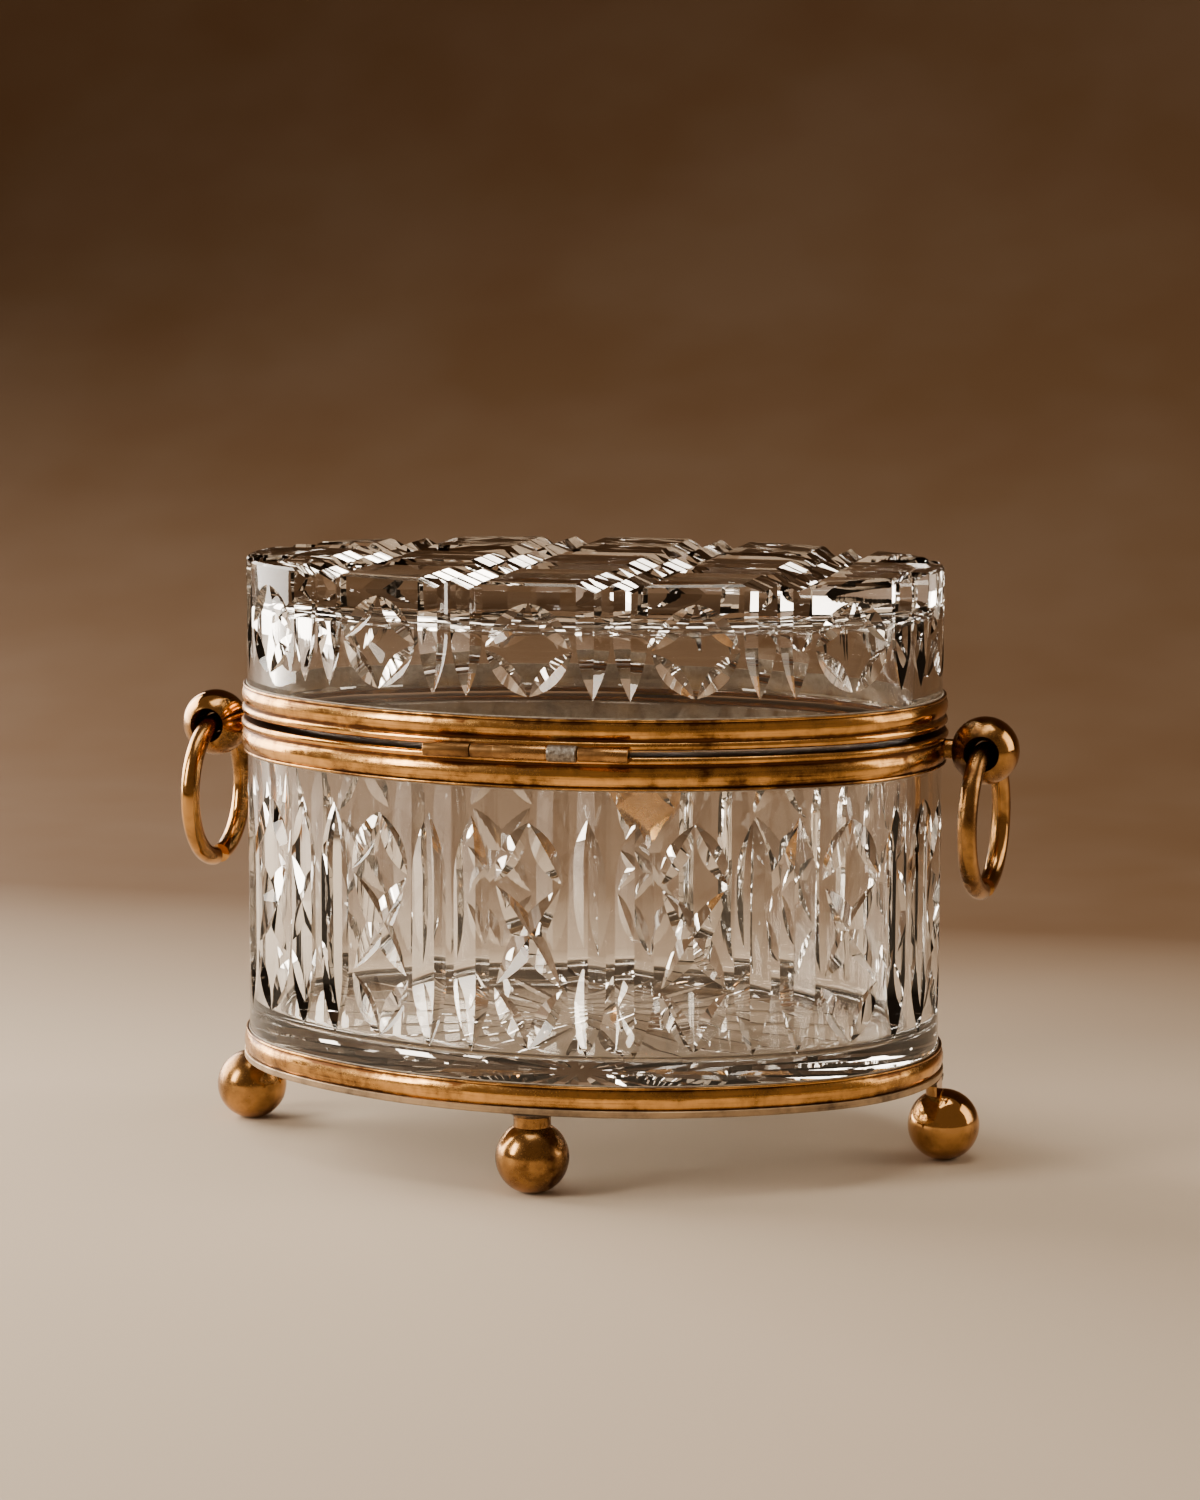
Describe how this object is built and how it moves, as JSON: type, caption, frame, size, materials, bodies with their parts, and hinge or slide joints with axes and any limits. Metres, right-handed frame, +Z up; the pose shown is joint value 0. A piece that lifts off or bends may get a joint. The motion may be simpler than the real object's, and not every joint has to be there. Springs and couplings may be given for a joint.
{
  "type": "glass casket box",
  "caption": "Oval cut-glass casket with a hinged glass lid, gilt brass rims, ball feet, hanging ring handles and a small shield lock.",
  "frame": {"origin": "middle of the oval on the surface that the feet stand on", "axes": "+Z up; the hinge faces -Y and the lock +Y; +X along the long axis, to the right seen from the hinge side"},
  "size_m": [0.1808, 0.1145, 0.1236],
  "materials": {
    "cut_glass": "clear polished cut glass",
    "gilt_brass": "worn gilding with brown patina in the grooves",
    "dull_brass": "dull, greyish in places from old solder",
    "plaster": "matt plaster bedding",
    "steel": "satin"
  },
  "bodies": {
    "root": {"glass_bowl": "cut_glass", "base_rim": "gilt_brass", "foot_rear": "gilt_brass", "foot_front": "gilt_brass", "foot_left": "gilt_brass", "foot_right": "gilt_brass", "bowl_rim": "gilt_brass", "hinge_knuckle_left": "gilt_brass", "hinge_knuckle_right": "gilt_brass", "handle_ball_left": "gilt_brass", "handle_ball_right": "gilt_brass", "shield_plate": "gilt_brass", "shield_screws": "gilt_brass", "base_plate": "dull_brass", "lock_case": "dull_brass", "base_bedding": "plaster", "bowl_bedding": "plaster", "hinge_pin": "steel", "bolt_spring": "steel", "key_pin": "steel"},
    "lid": {"glass_lid": "cut_glass", "lid_rim": "gilt_brass", "lid_bedding": "plaster", "hinge_knuckle_lid": "gilt_brass", "lid_catch": "gilt_brass"},
    "ring_left": {"handle_ring_left": "gilt_brass"},
    "ring_right": {"handle_ring_right": "gilt_brass"},
    "bolt": {"lock_bolt": "steel"}
  },
  "joints": [
    {"name": "lid_hinge", "type": "hinge", "parent": "root", "child": "lid", "pos_m": [0, -0.0543, 0.0903], "axis": [1, 0, 0], "range_deg": [0, 100]},
    {"name": "ring_left_swing", "type": "hinge", "parent": "root", "child": "ring_left", "pos_m": [-0.0834, 0, 0.0863], "axis": [0, 1, 0], "range_deg": [-12, 180]},
    {"name": "ring_right_swing", "type": "hinge", "parent": "root", "child": "ring_right", "pos_m": [0.0834, 0, 0.0863], "axis": [0, -1, 0], "range_deg": [-12, 180]},
    {"name": "bolt_slide", "type": "slide", "parent": "root", "child": "bolt", "axis": [-1, 0, 0], "range_m": [0, 0.0023]}
  ]
}
